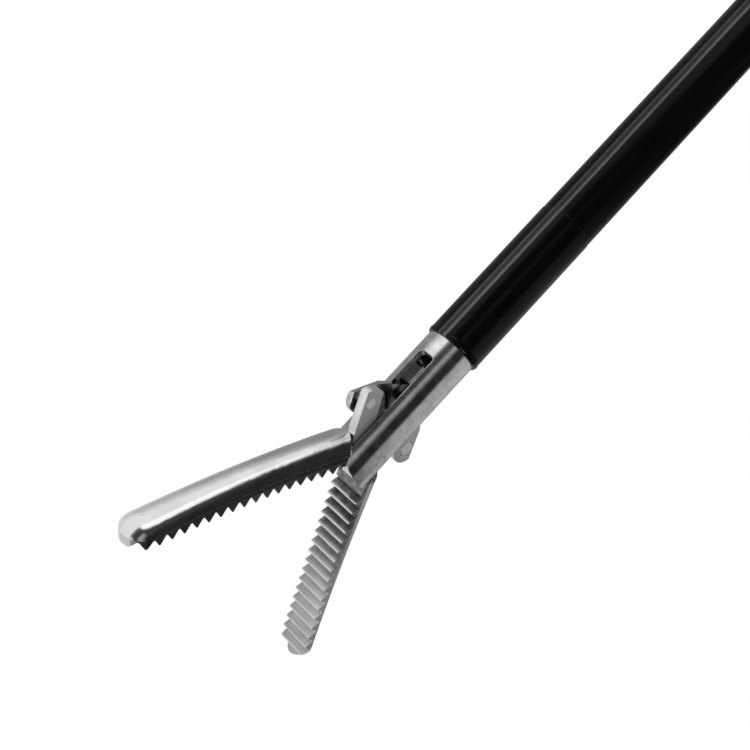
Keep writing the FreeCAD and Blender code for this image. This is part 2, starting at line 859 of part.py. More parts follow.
# Contact post, its shroud and the leaf spring that touches the rod

contact_post = fused([
    along_post(post_foot_radius, post_foot_start, shroud_start),
    along_post(post_shoulder_radius, shroud_start, shroud_end),
    along_post(post_radius, shroud_end, shroud_end + post_exposed),
])
shroud = along_post(shroud_radius, shroud_start, shroud_end)
shroud = shroud.cut(along_post(post_shoulder_radius + press, shroud_start - 1, shroud_end + 1))
shroud = shroud.cut(shells["left"]).cut(shells["right"])
save("contact_post", contact_post)
save("post_shroud", shroud)


def contact_leaf():
    """A bent strip from under the post's foot down to just over the rod."""
    top = vec(*post_foot) + post_direction * post_foot_start
    foot_y = rod_radius + slip
    end = vec(post_foot[0] + 2.0, foot_y)
    leaf = prism([
        (end.x - 4.0, foot_y), (end.x, foot_y), (top.x + 0.7, top.y - 0.2),
        (top.x - 1.6, top.y - 1.2), (top.x - 1.3, top.y - 1.7), (end.x - 1.2, foot_y + 0.5),
        (end.x - 4.0, foot_y + 0.5),
    ], -1.5, 1.5)
    return leaf.cut(contact_post)


save("contact_spring", contact_leaf())


# Thumb lever: steel core with the ball's fork, moulded grip with the thumb ring

def lever_core():
    arm_angle = 90 - lever_swing / 2
    fork = polar(lever_arm / math.cos(math.radians(lever_swing / 2)), arm_angle, lever_centre)
    half = lever_plate_half
    tail = polar(core_tail_length, thumb_ring_angle, lever_centre)
    core = fused([
        disc(lever_centre, lever_hub_radius, -half, half),
        strip(lever_centre, fork, fork_root_radius, fork_end_radius, -fork_half, fork_half),
        strip(lever_centre, tail, lever_hub_radius - core_tail_step, core_tail_radius, -half, half),
    ])
    slot = block((-ball_radius - 2 * running, -ball_radius - 0.6, -fork_half - 1),
                 (ball_radius + 2 * running, 12.0, fork_half + 1))
    rod_slit = block((0.0, -rod_radius - 1.0, -rod_radius - 0.4), (12.0, 12.0, rod_radius + 0.4))
    socket = fused([slot, rod_slit])
    socket.rotate(ORIGIN, Z_AXIS, arm_angle - 90)
    core = core.cut(moved(socket, *fork))
    return core.cut(disc(lever_centre, lever_pin_radius + running, -9, 9))


def thumb_grip():
    half = thumb_ring_half
    stem_top = polar(stem_start, thumb_ring_angle, lever_centre)
    ring_centre = polar(thumb_ring_reach, thumb_ring_angle, lever_centre)
    ring_outer = thumb_ring_bore + thumb_ring_wall
    stem_end = polar(thumb_ring_reach - thumb_ring_bore - 3.0, thumb_ring_angle, lever_centre)
    grip = fused([
        strip(stem_top, stem_end, thumb_stem_radius, thumb_stem_radius - 0.5, -half, half),
        disc(ring_centre, ring_outer, -half, half),
    ])
    grip = grip.cut(disc(ring_centre, thumb_ring_bore, -half - 1, half + 1))
    edges = top_edges(grip, half) + top_edges(grip, -half)
    grip = grip.makeFillet(thumb_ring_edge, edges)
    tail = polar(core_tail_length, thumb_ring_angle, lever_centre)
    pocket = strip(
        lever_centre, tail, lever_hub_radius - core_tail_step + press, core_tail_radius + press,
        -lever_plate_half - press, lever_plate_half + press
    )
    hub = disc(lever_centre, lever_hub_radius + 3 * slip, -half - 1, half + 1)
    return grip.cut(pocket).cut(hub)


def pin(centre, radius):
    """A pin held at both ends in the shells."""
    return disc(centre, radius, -pin_depths[radius], pin_depths[radius])


core = lever_core()
grip = thumb_grip()


# Ratchet bar on the lever, with its teeth towards the pivot, and the sprung pawl above it

def ratchet_bar():
    band = disc(lever_centre, ratchet_inner + ratchet_band, -ratchet_half, ratchet_half)
    band = band.cut(disc(lever_centre, ratchet_inner, -ratchet_half - 1, ratchet_half + 1))
    band = band.common(prism([
        lever_centre, polar(far, thumb_ring_angle, lever_centre),
        polar(far, ratchet_end_angle, lever_centre)
    ], -ratchet_half, ratchet_half))
    for index in range(ratchet_teeth):
        at = ratchet_end_angle - 1.0 - index * ratchet_tooth_step
        band = band.cut(prism([
            polar(ratchet_inner - 0.5, at, lever_centre),
            polar(ratchet_inner - 0.5, at - ratchet_tooth_step, lever_centre),
            polar(ratchet_inner + ratchet_tooth_height, at - 0.15 * ratchet_tooth_step, lever_centre),
        ], -ratchet_half - 1, ratchet_half + 1))
    return band


bar = ratchet_bar()
bar = bar.cut(core)
grip = grip.cut(bar)
save("lever_core", core)
save("thumb_grip", grip)
save("ratchet_bar", bar)
save("lever_pin", pin(lever_centre, lever_pin_radius))


def release_pawl():
    body = pawl_outline(0.0, -pawl_half, pawl_half)
    tooth = prism([
        pawl_tip,
        (pawl_tip[0] + 2.4, pawl_tip[1] + 1.2),
        (pawl_tip[0] + 0.2, pawl_tip[1] + 2.2),
    ], -pawl_half, pawl_half)
    pad = strip(
        trigger_knee, trigger_end, trigger_knee_radius, trigger_end_radius + slip,
        -trigger_half, trigger_half
    )
    return fused([body, tooth, pad]).cut(disc(pawl_centre, pawl_pin_radius + running, -3, 3))


def pawl_spring():
    """The torsion spring beside the pawl's boss: close turns and two short legs."""
    wire = 0.5 * pawl_spring_wire
    turn_radius = pawl_pin_radius + slip + wire
    start = pawl_half + slip + wire
    turns = [
        Part.makeTorus(turn_radius, wire, vec(*pawl_centre, start + index * pawl_spring_wire), Z_AXIS)
        for index in range(pawl_spring_turns)
    ]
    top = start + (pawl_spring_turns - 1) * pawl_spring_wire
    front_leg = Part.makeCylinder(
        wire, 2.6, vec(pawl_centre[0], pawl_centre[1] + turn_radius, top), FreeCAD.Vector(1, 0, 0)
    )
    back_leg = Part.makeCylinder(
        wire, 2.6, vec(pawl_centre[0], pawl_centre[1] + turn_radius, start), FreeCAD.Vector(-1, 0, 0)
    )
    return fused(turns + [front_leg, back_leg])


save("release_pawl", release_pawl())
save("pawl_spring", pawl_spring())
save("pawl_pin", pin(pawl_centre, pawl_pin_radius))
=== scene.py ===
# Laparoscopic grasper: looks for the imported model, in metres, shaft along X, lying on its side
import math

import bpy
import numpy as np
from mathutils import Matrix, Vector
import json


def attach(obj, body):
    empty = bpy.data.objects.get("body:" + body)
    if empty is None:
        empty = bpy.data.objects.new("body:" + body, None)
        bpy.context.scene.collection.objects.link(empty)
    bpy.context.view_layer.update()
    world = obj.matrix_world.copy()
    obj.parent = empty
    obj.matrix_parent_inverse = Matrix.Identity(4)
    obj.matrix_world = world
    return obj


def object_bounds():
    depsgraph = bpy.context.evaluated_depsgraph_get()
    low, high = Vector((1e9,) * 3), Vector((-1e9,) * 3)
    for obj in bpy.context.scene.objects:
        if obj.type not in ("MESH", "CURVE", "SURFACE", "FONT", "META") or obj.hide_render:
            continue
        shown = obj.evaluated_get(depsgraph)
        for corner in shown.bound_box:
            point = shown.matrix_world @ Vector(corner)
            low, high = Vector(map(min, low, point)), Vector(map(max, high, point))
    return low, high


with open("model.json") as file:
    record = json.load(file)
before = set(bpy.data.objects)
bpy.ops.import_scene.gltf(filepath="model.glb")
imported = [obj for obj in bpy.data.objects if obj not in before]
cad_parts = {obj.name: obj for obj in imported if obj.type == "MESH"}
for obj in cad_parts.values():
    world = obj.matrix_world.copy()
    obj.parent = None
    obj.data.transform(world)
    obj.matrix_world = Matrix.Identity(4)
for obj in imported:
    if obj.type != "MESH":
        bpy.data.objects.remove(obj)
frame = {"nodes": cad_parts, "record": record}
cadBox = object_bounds()
nodes = frame["nodes"]
scene = bpy.context.scene
print("frame loaded:", len(nodes), "nodes")


# Camera: place and axes solved from the rivets, the jaws and the sleeve in the photograph
camera = {
    "place": (0.017241, -0.073566, 0.048382),
    "right": (-0.676209, 0.353361, 0.646434),
    "up": (-0.725611, -0.471194, -0.501463),
    "lens": 51.394,
    "sensor": 36.0,
    "near": 0.005,
    "far": 20.0,
}


def placeCamera(s):
    data = bpy.data.cameras.new("camera")
    data.lens = s["lens"]
    data.sensor_width = s["sensor"]
    data.clip_start = s["near"]
    data.clip_end = s["far"]
    eye = bpy.data.objects.new("camera", data)
    scene.collection.objects.link(eye)
    right = Vector(s["right"]).normalized()
    back = right.cross(Vector(s["up"])).normalized()
    up = back.cross(right)
    turn = Matrix((right, up, back)).transposed()
    eye.matrix_world = Matrix.Translation(Vector(s["place"])) @ turn.to_4x4()
    scene.camera = eye


placeCamera(camera)
print("camera placed")


# Node materials: every finish reads Object coordinates, in metres. Nearly all values of a
# noise texture lie between these two.
noiseLow, noiseHigh = 0.3, 0.7


def newMaterial(name):
    material = bpy.data.materials.new(name)
    material.use_nodes = True
    tree = material.node_tree
    shader = tree.nodes["Principled BSDF"]
    coords = tree.nodes.new("ShaderNodeTexCoord")
    return material, tree, shader, coords.outputs["Object"]


def noise(tree, where, scale, detail=3.0, stretch=(1, 1, 1), rough=0.55):
    mapping = tree.nodes.new("ShaderNodeMapping")
    mapping.inputs["Scale"].default_value = stretch
    tree.links.new(where, mapping.inputs["Vector"])
    texture = tree.nodes.new("ShaderNodeTexNoise")
    texture.inputs["Scale"].default_value = scale
    texture.inputs["Detail"].default_value = detail
    texture.inputs["Roughness"].default_value = rough
    tree.links.new(mapping.outputs["Vector"], texture.inputs["Vector"])
    return texture.outputs["Fac"]


def ramp(tree, value, stops):
    node = tree.nodes.new("ShaderNodeValToRGB")
    element = node.color_ramp.elements
    while len(element) < len(stops):
        element.new(0.5)
    for slot, (at, colour) in zip(element, stops):
        slot.position = at
        slot.color = colour + (1,)
    tree.links.new(value, node.inputs["Fac"])
    return node.outputs["Color"]


# A value between 0 and 1 brought between two others
def span(tree, value, low, high):
    node = tree.nodes.new("ShaderNodeMapRange")
    node.inputs["To Min"].default_value = low
    node.inputs["To Max"].default_value = high
    tree.links.new(value, node.inputs["Value"])
    return node.outputs["Result"]


def arithmetic(tree, kind, first, second):
    node = tree.nodes.new("ShaderNodeMath")
    node.operation = kind
    for slot, value in zip(node.inputs, (first, second)):
        if hasattr(value, "is_linked"):
            tree.links.new(value, slot)
        else:
            slot.default_value = value
    return node.outputs[0]


def product(tree, value, *factors):
    for factor in factors:
        value = arithmetic(tree, "MULTIPLY", value, factor)
    return value


def absolute(tree, value):
    return arithmetic(tree, "ABSOLUTE", value, 0.0)


def dot(tree, vector, axis):
    node = tree.nodes.new("ShaderNodeVectorMath")
    node.operation = "DOT_PRODUCT"
    node.inputs[1].default_value = axis
    tree.links.new(vector, node.inputs[0])
    return node.outputs["Value"]


# A soft step of a value, from 0 at one number to 1 at the other, whichever is the larger
def softStep(tree, value, nothing, full):
    node = tree.nodes.new("ShaderNodeMapRange")
    node.interpolation_type = "SMOOTHSTEP"
    node.inputs["From Min"].default_value = min(nothing, full)
    node.inputs["From Max"].default_value = max(nothing, full)
    node.inputs["To Min"].default_value = 0.0 if nothing < full else 1.0
    node.inputs["To Max"].default_value = 1.0 if nothing < full else 0.0
    tree.links.new(value, node.inputs["Value"])
    return node.outputs["Result"]


def bump(tree, height, strength, distance, below=None):
    node = tree.nodes.new("ShaderNodeBump")
    node.inputs["Strength"].default_value = strength
    node.inputs["Distance"].default_value = distance
    tree.links.new(height, node.inputs["Height"])
    if below is not None:
        tree.links.new(below, node.inputs["Normal"])
    return node.outputs["Normal"]


def mixed(tree, kind, share, first, second):
    node = tree.nodes.new("ShaderNodeMix")
    node.data_type = "RGBA"
    node.blend_type = kind
    for socket, value in (("Factor", share), ("A", first), ("B", second)):
        slot = [i for i in node.inputs if i.name == socket and i.enabled][0]
        if hasattr(value, "is_linked"):
            tree.links.new(value, slot)
        elif hasattr(value, "__len__"):
            slot.default_value = (value[0], value[1], value[2], 1)
        else:
            slot.default_value = value
    return [o for o in node.outputs if o.enabled][0]


# Normals that turn smoothly over the sharp edges of a CAD solid
def roundedEdge(tree, radius):
    node = tree.nodes.new("ShaderNodeBevel")
    node.samples = 6
    node.inputs["Radius"].default_value = radius
    return node.outputs["Normal"]


# Steel: brush marks drawn out along one axis over cloudy tones
def brushed(tree, where, s):
    brush = noise(tree, where, s["brushScale"], 4.0, s["brushStretch"])
    cloud = noise(tree, where, s["cloudScale"], 3.0)
    tone = ramp(tree, cloud, [(noiseLow, s["dark"]), (noiseHigh, s["light"])])
    streak = ramp(tree, brush, [(noiseLow, s["streak"]), (noiseHigh, (1, 1, 1))])
    return brush, mixed(tree, "MULTIPLY", s["brushShare"], tone, streak)


# The steel's shader: its tone and roughness, fine marks and dents over rounded edges
def steelShader(tree, shader, where, s, tone, rough, brush):
    tree.links.new(tone, shader.inputs["Base Color"])
    shader.inputs["Metallic"].default_value = 1.0
    tree.links.new(rough, shader.inputs["Roughness"])
    fine = bump(tree, brush, s["bump"], s["bumpDepth"], roundedEdge(tree, s["edge"]))
    dents = bump(tree, noise(tree, where, s["dentScale"], 2.0), s["dent"], s["dentDepth"], fine)
    tree.links.new(dents, shader.inputs["Normal"])


def steel(name, s):
    material, tree, shader, where = newMaterial(name)
    brush, tone = brushed(tree, where, s)
    rough = span(tree, brush, s["rough"][0], s["rough"][1])
    steelShader(tree, shader, where, s, tone, rough, brush)
    return material


# A jaw: steel with painted shade on the faces between its bright tooth crests, painted shading
# on its side faces and more on the side faces of the tang. The height over the bite line is counted
# from the jaw's bow, a parabola along the reach.
def jawFinish(name, s, side):
    material, tree, shader, where = newMaterial(name)
    along = (math.cos(s["open"]), side * math.sin(s["open"]), 0)
    across = (-math.sin(s["open"]), side * math.cos(s["open"]), 0)
    moved = tree.nodes.new("ShaderNodeMapping")
    moved.inputs["Location"].default_value = (-s["pivot"], 0, 0)
    tree.links.new(where, moved.inputs["Vector"])
    reach = dot(tree, moved.outputs["Vector"], along)
    share = arithmetic(tree, "DIVIDE", reach, s["reach"])
    bow = product(tree, share, arithmetic(tree, "SUBTRACT", 1.0, share), 4 * s["bow"])
    height = arithmetic(tree, "SUBTRACT", dot(tree, moved.outputs["Vector"], across), bow)
    brush, tone = brushed(tree, where, s)
    # Painted shade: the faces between the tooth crests darken in patches, most towards the pivot, while
    # the crests keep the bright steel
    face = softStep(tree, height, s["crest"], s["face"])
    tooth = softStep(tree, height, s["toothTop"], s["toothRoot"])
    patchy = span(tree, noise(tree, where, s["paintedShadeScale"], 4.0), s["paintedShade"][0], s["paintedShade"][1])
    rooted = span(tree, softStep(tree, reach, s["paintedShadeEnd"], s["paintedShadeStart"]), s["paintedShadeTip"], 1.0)
    paintedShade = product(tree, face, patchy, tooth, rooted)
    tone = mixed(tree, "MIX", paintedShade, tone, s["paintedShadeColour"])
    # Painted shading: the side faces take one factor and the tang's side faces another, darker on one
    # jaw and lighter on the other
    normal = tree.nodes.new("ShaderNodeTexCoord").outputs["Normal"]
    facing = absolute(tree, dot(tree, normal, (0, 0, 1)))
    flank = softStep(tree, facing, s["flankFrom"], s["flankFull"])
    tone = mixed(tree, "MULTIPLY", flank, tone, s["flankPaintedShading"])
    tang = product(tree, flank, softStep(tree, reach, s["tangStart"], s["tangFull"]))
    tone = mixed(tree, "MULTIPLY", tang, tone, s["tangPaintedShading"])
    rough = span(tree, brush, s["rough"][0], s["rough"][1])
    rough = arithmetic(tree, "ADD", rough, product(tree, paintedShade, s["paintedShadeRough"]))
    rough = arithmetic(tree, "ADD", rough, product(tree, flank, s["flankRough"]))
    steelShader(tree, shader, where, s, tone, rough, brush)
    return material


# A black tube: plastic with raised extrusion lines along it, at angles about X, their lighter colour a
# painted highlight
def tubeFinish(name, s):
    material, tree, shader, where = newMaterial(name)
    cloud = noise(tree, where, s["cloudScale"], 4.0)
    base = ramp(tree, cloud, [(noiseLow, s["dark"]), (noiseHigh, s["light"])])
    middle = math.radians(s["lineMiddle"])
    onLine = dot(tree, where, (0, math.cos(middle), math.sin(middle)))
    offLine = dot(tree, where, (0, -math.sin(middle), math.cos(middle)))
    angle = arithmetic(tree, "ARCTAN2", offLine, onLine)
    wander = span(tree, noise(tree, where, s["wanderScale"], 2.0, (1, 0, 0)), -s["wander"], s["wander"])
    angle = arithmetic(tree, "ADD", angle, wander)
    lines = 0.0
    for at, half, strength in s["lines"]:
        away = absolute(tree, arithmetic(tree, "SUBTRACT", angle, math.radians(at)))
        line = product(tree, softStep(tree, away, math.radians(half), 0.0), strength)
        lines = arithmetic(tree, "ADD", lines, line)
    patches = noise(tree, where, s["patchScale"], 3.0, s["patchStretch"])
    lines = product(tree, lines, span(tree, patches, s["patch"][0], s["patch"][1]))
    # Painted highlight: the lines lighten the base colour where reflected streaks lie along the tube
    tree.links.new(mixed(tree, "MIX", lines, base, s["linePaintedHighlight"]), shader.inputs["Base Color"])
    tree.links.new(span(tree, cloud, s["rough"][0], s["rough"][1]), shader.inputs["Roughness"])
    grain = noise(tree, where, s["grainScale"], 2.0, s["grainStretch"])
    fine = bump(tree, grain, s["bump"], s["bumpDepth"])
    tree.links.new(bump(tree, lines, s["lineBump"], s["lineDepth"], fine), shader.inputs["Normal"])
    shader.inputs["Specular IOR Level"].default_value = s["specular"]
    return material


# Plastic and rubber: cloudy colour, fine grain and soft waves in the surface
def plastic(name, s):
    material, tree, shader, where = newMaterial(name)
    cloud = noise(tree, where, s["cloudScale"], 4.0)
    base = ramp(tree, cloud, [(noiseLow, s["dark"]), (noiseHigh, s["light"])])
    tree.links.new(base, shader.inputs["Base Color"])
    tree.links.new(span(tree, cloud, s["rough"][0], s["rough"][1]), shader.inputs["Roughness"])
    grain = noise(tree, where, s["grainScale"], 2.0)
    fine = bump(tree, grain, s["bump"], s["bumpDepth"], roundedEdge(tree, s["edge"]))
    waves = bump(tree, noise(tree, where, s["waveScale"], 1.0), s["wave"], s["waveDepth"], fine)
    tree.links.new(waves, shader.inputs["Normal"])
    return material


brushedSteel = {
    "dark": (0.70, 0.70, 0.71), "light": (0.82, 0.82, 0.825), "cloudScale": 260,
    "brushScale": 900, "brushStretch": (0.12, 1, 1), "brushShare": 0.5,
    "streak": (0.82, 0.82, 0.82), "rough": (0.10, 0.18), "bump": 0.12, "bumpDepth": 0.00002,
    "dentScale": 500, "dent": 0.10, "dentDepth": 0.00006, "edge": 0.00008,
}
jaw = brushedSteel | {
    "open": math.radians(40), "pivot": 0.011, "reach": 0.0222, "bow": 0.00024,
    "crest": -0.00029, "face": -0.00012, "toothRoot": 0.0004, "toothTop": 0.00065,
    # Painted shade between the teeth, on this line and the next: its patchy range and scale, its
    # colour, the roughness added with it, and where along the reach it fades to its share at the tip
    "paintedShade": (0.3, 1.3), "paintedShadeScale": 1700, "paintedShadeColour": (0.10, 0.10, 0.10),
    "paintedShadeRough": 0.25, "paintedShadeStart": 0.006, "paintedShadeEnd": 0.017, "paintedShadeTip": 0.15,
    "flankFrom": 0.90, "flankFull": 0.98, "tangStart": 0.0, "tangFull": -0.0012, "edge": 0.00001,
}
# Painted shading on the upper jaw: its side faces darkened, and lightened again on the tang
upperJaw = jaw | {
    "flankPaintedShading": (0.55, 0.55, 0.56), "flankRough": 0.0, "tangPaintedShading": (1.8, 1.8, 1.8),
}
# Painted shading on the lower jaw: its side faces lightened, and darkened again on the tang
lowerJaw = jaw | {
    "flankPaintedShading": (1.25, 1.25, 1.25), "flankRough": 0.2, "tangPaintedShading": (0.66, 0.66, 0.665),
}
clevis = brushedSteel | {
    "dark": (0.60, 0.60, 0.61), "light": (0.86, 0.86, 0.865), "cloudScale": 1100,
    "brushScale": 1300, "brushStretch": (1, 0.12, 0.12), "brushShare": 0.85, "rough": (0.10, 0.24),
}
link = brushedSteel | {
    "dark": (0.46, 0.46, 0.465), "light": (0.62, 0.62, 0.625), "rough": (0.16, 0.26),
}
# Painted shade: the rod's steel is toned far darker than the other steel to stand for the shade of the
# slot it runs in
rodPaintedShade = brushedSteel | {"dark": (0.12, 0.12, 0.123), "light": (0.24, 0.24, 0.245)}
brass = brushedSteel | {"dark": (0.62, 0.44, 0.18), "light": (0.76, 0.57, 0.26)}
blackPlastic = {
    "dark": (0.014, 0.014, 0.015), "light": (0.026, 0.026, 0.028), "cloudScale": 90,
    "grainScale": 4200, "bump": 0.25, "bumpDepth": 0.00004, "rough": (0.42, 0.55),
    "waveScale": 40, "wave": 0.05, "waveDepth": 0.0004, "edge": 0.0004,
}
paleLiner = blackPlastic | {"dark": (0.62, 0.62, 0.59), "light": (0.75, 0.75, 0.72)}
sealRubber = blackPlastic | {"dark": (0.03, 0.03, 0.03), "light": (0.05, 0.05, 0.05)}
softRubber = blackPlastic | {
    "dark": (0.045, 0.045, 0.047), "light": (0.062, 0.062, 0.065), "grainScale": 6500,
    "bump": 0.35, "rough": (0.62, 0.75), "edge": 0.0001,
}
# Each painted highlight line of the tube: its angle from the middle and its half width, in degrees, and
# strength
tube = {
    "dark": (0.0016, 0.0016, 0.0018), "light": (0.003, 0.003, 0.0033), "cloudScale": 90,
    "grainScale": 1500, "grainStretch": (0.1, 1, 1), "bump": 0.06, "bumpDepth": 0.00002,
    "rough": (0.16, 0.22), "specular": 0.11,
    "lineMiddle": -170, "lines": [(-14.0, 5.0, 0.8), (0.0, 4.5, 0.4), (-7.0, 13.0, 0.16)],
    "linePaintedHighlight": (0.24, 0.24, 0.245), "lineBump": 0.3, "lineDepth": 0.00001,
    "wander": 0.02, "wanderScale": 60,
    "patchScale": 160, "patchStretch": (0.3, 1, 1), "patch": (0.35, 1.2),
}

slotOf = {row["node"]: row["material_slot"] for row in frame["record"]["subparts"]}
finishes = {
    "clevis_steel": steel("clevisSteel", clevis),
    "link_steel": steel("linkSteel", link),
    "pin_steel": steel("pinSteel", brushedSteel | {"rough": (0.18, 0.26)}),
    "rod_steel": steel("rodSteel", rodPaintedShade),
    "shaft_steel": steel("shaftSteel", brushedSteel | {"rough": (0.2, 0.3)}),
    "lever_steel": steel("leverSteel", brushedSteel | {"rough": (0.26, 0.38)}),
    "trigger_steel": steel("triggerSteel", brushedSteel | {"rough": (0.3, 0.42)}),
    "screw_steel": steel("screwSteel", brushedSteel | {"rough": (0.2, 0.3)}),
    "post_steel": steel("postSteel", brushedSteel | {"rough": (0.12, 0.2)}),
    "hub_brass": steel("hubBrass", brass),
    "black_insulation": tubeFinish("blackInsulation", tube),
    "black_sleeve": tubeFinish("blackSleeve", tube | {"rough": (0.14, 0.2), "specular": 0.15}),
    "black_plastic": plastic("blackPlastic", blackPlastic),
    "knob_plastic": plastic("knobPlastic", blackPlastic | {"rough": (0.35, 0.48)}),
    "liner_plastic": plastic("linerPlastic", paleLiner),
    "soft_rubber": plastic("softRubber", softRubber),
    "seal_rubber": plastic("sealRubber", sealRubber),
}
jawFinishes = {
    "upper_jaw": jawFinish("upperJaw", upperJaw, -1),
    "lower_jaw": jawFinish("lowerJaw", lowerJaw, 1),
}
for name, node in nodes.items():
    node.data.materials.clear()
    node.data.materials.append(jawFinishes.get(name) or finishes[slotOf[name]])
print("finishes set:", len(finishes) + len(jawFinishes))


# A closed surface on a grid: each face joins a vertex with its next ones. The grid closes
# on itself both ways, or where it is capped, one face shuts each end of a tube.
def closedGrid(name, grid, capped=False):
    rows, columns = grid.shape[:2]
    index = np.arange(rows * columns).reshape(rows, columns)
    down = np.roll(index, -1, axis=0)
    faces = np.stack([index, np.roll(index, -1, axis=1), np.roll(down, -1, axis=1), down], axis=-1)
    faces = (faces[:-1] if capped else faces).reshape(-1, 4)
    corners = faces.reshape(-1)
    starts = np.arange(0, faces.size, 4)
    if capped:
        corners = np.concatenate([corners, index[0, ::-1], index[-1]])
        starts = np.concatenate([starts, [faces.size, faces.size + columns]])
    mesh = bpy.data.meshes.new(name)
    mesh.vertices.add(rows * columns)
    mesh.vertices.foreach_set("co", grid.reshape(-1).astype(np.float32))
    mesh.loops.add(len(corners))
    mesh.loops.foreach_set("vertex_index", corners.astype(np.int32))
    mesh.polygons.add(len(starts))
    mesh.polygons.foreach_set("loop_start", starts.astype(np.int32))
    mesh.polygons.foreach_set("use_smooth", np.ones(len(starts), dtype=bool))
    mesh.update(calc_edges=True)
    mesh.validate()
    piece = bpy.data.objects.new(name, mesh)
    scene.collection.objects.link(piece)
    return piece


# Shrunk-on layer over the front sleeve: its rolled lip and the step at its back end show.
# A profile of radius along the shaft is turned about X: a thin wall with a quarter round at
# each end and a squared sine for the lip, shut by an inner wall that lies in the sleeve.
shrink = {
    "front": -0.00004, "back": -0.0145, "seat": 0.0025, "wall": 0.00004,
    "lip": 0.00005, "lipLength": 0.0005, "endRound": 0.00012, "stations": 120, "around": 128,
}


# Rises from 0 to 1 as a quarter of a circle does, then stays
def quarterRound(share):
    return np.sqrt(1.0 - (1.0 - np.clip(share, 0, 1)) ** 2)


def shrunkLayer(s):
    share = 0.5 - 0.5 * np.cos(np.pi * np.linspace(0.0, 1.0, s["stations"]))
    x = s["front"] + (s["back"] - s["front"]) * share
    fromFront = s["front"] - x
    fromBack = x - s["back"]
    lip = s["lip"] * np.sin(np.pi * np.clip(fromFront / s["lipLength"], 0, 1)) ** 2
    wall = s["wall"] * quarterRound(fromBack / s["endRound"]) * quarterRound(fromFront / s["endRound"])
    radius = s["seat"] + wall + lip
    inner = s["seat"] - 0.5 * s["wall"]
    x = np.concatenate([x, x[::-1]])
    radius = np.concatenate([radius, np.full(len(radius), inner)])
    turn = np.linspace(0.0, 2.0 * np.pi, s["around"], endpoint=False)
    grid = np.stack([
        np.broadcast_to(x[:, None], (len(x), len(turn))),
        radius[:, None] * np.cos(turn)[None, :],
        radius[:, None] * np.sin(turn)[None, :],
    ], axis=-1)
    return closedGrid("shrunkLayer", grid[:, ::-1])


sleeveLayer = shrunkLayer(shrink)
sleeveLayer.data.materials.append(finishes["black_sleeve"])
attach(sleeveLayer, "shaft")
print("shrunk layer made")


# Soft linings of the finger loop and the thumb ring. The path is a circle of the wall's
# radius drawn out between two centres; at each station a rounded bar stands on the wall,
# pointing inwards, and a squared raised cosine along the path lifts its ribs.
loopLining = {
    "first": (-0.3322, -0.0680), "second": (-0.3346, -0.0880), "radius": 0.01105,
    "half": 0.0053, "depth": 0.0010, "ribs": 38, "ribHeight": 0.00035, "ribHalf": 0.0040,
    "ribEdge": 6, "corner": 5.0, "stations": 760, "around": 40,
}
ringLining = loopLining | {
    "first": (-0.407887, -0.065751), "second": (-0.407887, -0.065771), "radius": 0.01255,
    "half": 0.0026, "depth": 0.0008, "ribs": 30, "ribHeight": 0.00025, "ribHalf": 0.0018,
}


# Section of a bar with rounded corners: a superellipse, cosine and sine each to the power
# two over the exponent
def roundedBar(count, power):
    turn = np.linspace(0.0, 2.0 * np.pi, count, endpoint=False)
    wide = np.sign(np.cos(turn)) * np.abs(np.cos(turn)) ** (2.0 / power)
    deep = np.sign(np.sin(turn)) * np.abs(np.sin(turn)) ** (2.0 / power)
    return wide, deep


# Ribs stand on the top of the bar only and end in a steep slope before its sides
def ribMask(wide, high, s):
    return np.clip(1.0 - np.abs(wide) ** s["ribEdge"], 0.0, 1.0) * (high > 0.5)


def lining(name, s):
    first, second = np.array(s["first"]), np.array(s["second"])
    gap = np.linalg.norm(second - first)
    ahead = (second - first) / gap
    side = np.array([-ahead[1], ahead[0]])
    arc = np.pi * s["radius"]
    run = np.linspace(0.0, 2.0 * (arc + gap), s["stations"], endpoint=False)
    lower = run >= arc + gap
    local = np.where(lower, run - arc - gap, run)
    angle = np.clip(local / s["radius"], 0.0, np.pi)
    slide = np.clip(local - arc, 0.0, gap)
    sign = np.where(lower, 1.0, -1.0)
    out = sign[:, None] * (np.sin(angle)[:, None] * ahead - np.cos(angle)[:, None] * side)
    base = np.where(lower[:, None], second, first) - sign[:, None] * slide[:, None] * ahead
    wide, deep = roundedBar(s["around"], s["corner"])
    rib = (0.5 + 0.5 * np.cos(np.pi * s["ribs"] * run / (arc + gap))) ** 2
    mask = ribMask(wide * s["half"] / s["ribHalf"], deep, s)
    depth = 0.5 * s["depth"] * (1.0 + deep) + s["ribHeight"] * rib[:, None] * mask
    place = base[:, None, :] + out[:, None, :] * (s["radius"] - depth)[:, :, None]
    height = np.broadcast_to((wide * s["half"])[None, :, None], place.shape[:2] + (1,))
    return closedGrid(name, np.concatenate([place, height], axis=-1)[:, ::-1])


# Ribbed grip pads on both sides of the handle: a low rounded bar that runs down the grip,
# as wide as a superellipse is at each station, with a power of a raised cosine for its ribs
gripPad = {
    "start": (-0.33615, -0.0225), "end": (-0.33315, -0.0475), "halfWidth": 0.0052,
    "seat": 0.0078, "rise": 0.00055, "ribs": 9, "ribHeight": 0.0004, "ribPower": 1.5,
    "ribEdge": 6, "oblong": 5.0, "corner": 4.0, "endWidth": 0.02, "stations": 240, "around": 48,
}


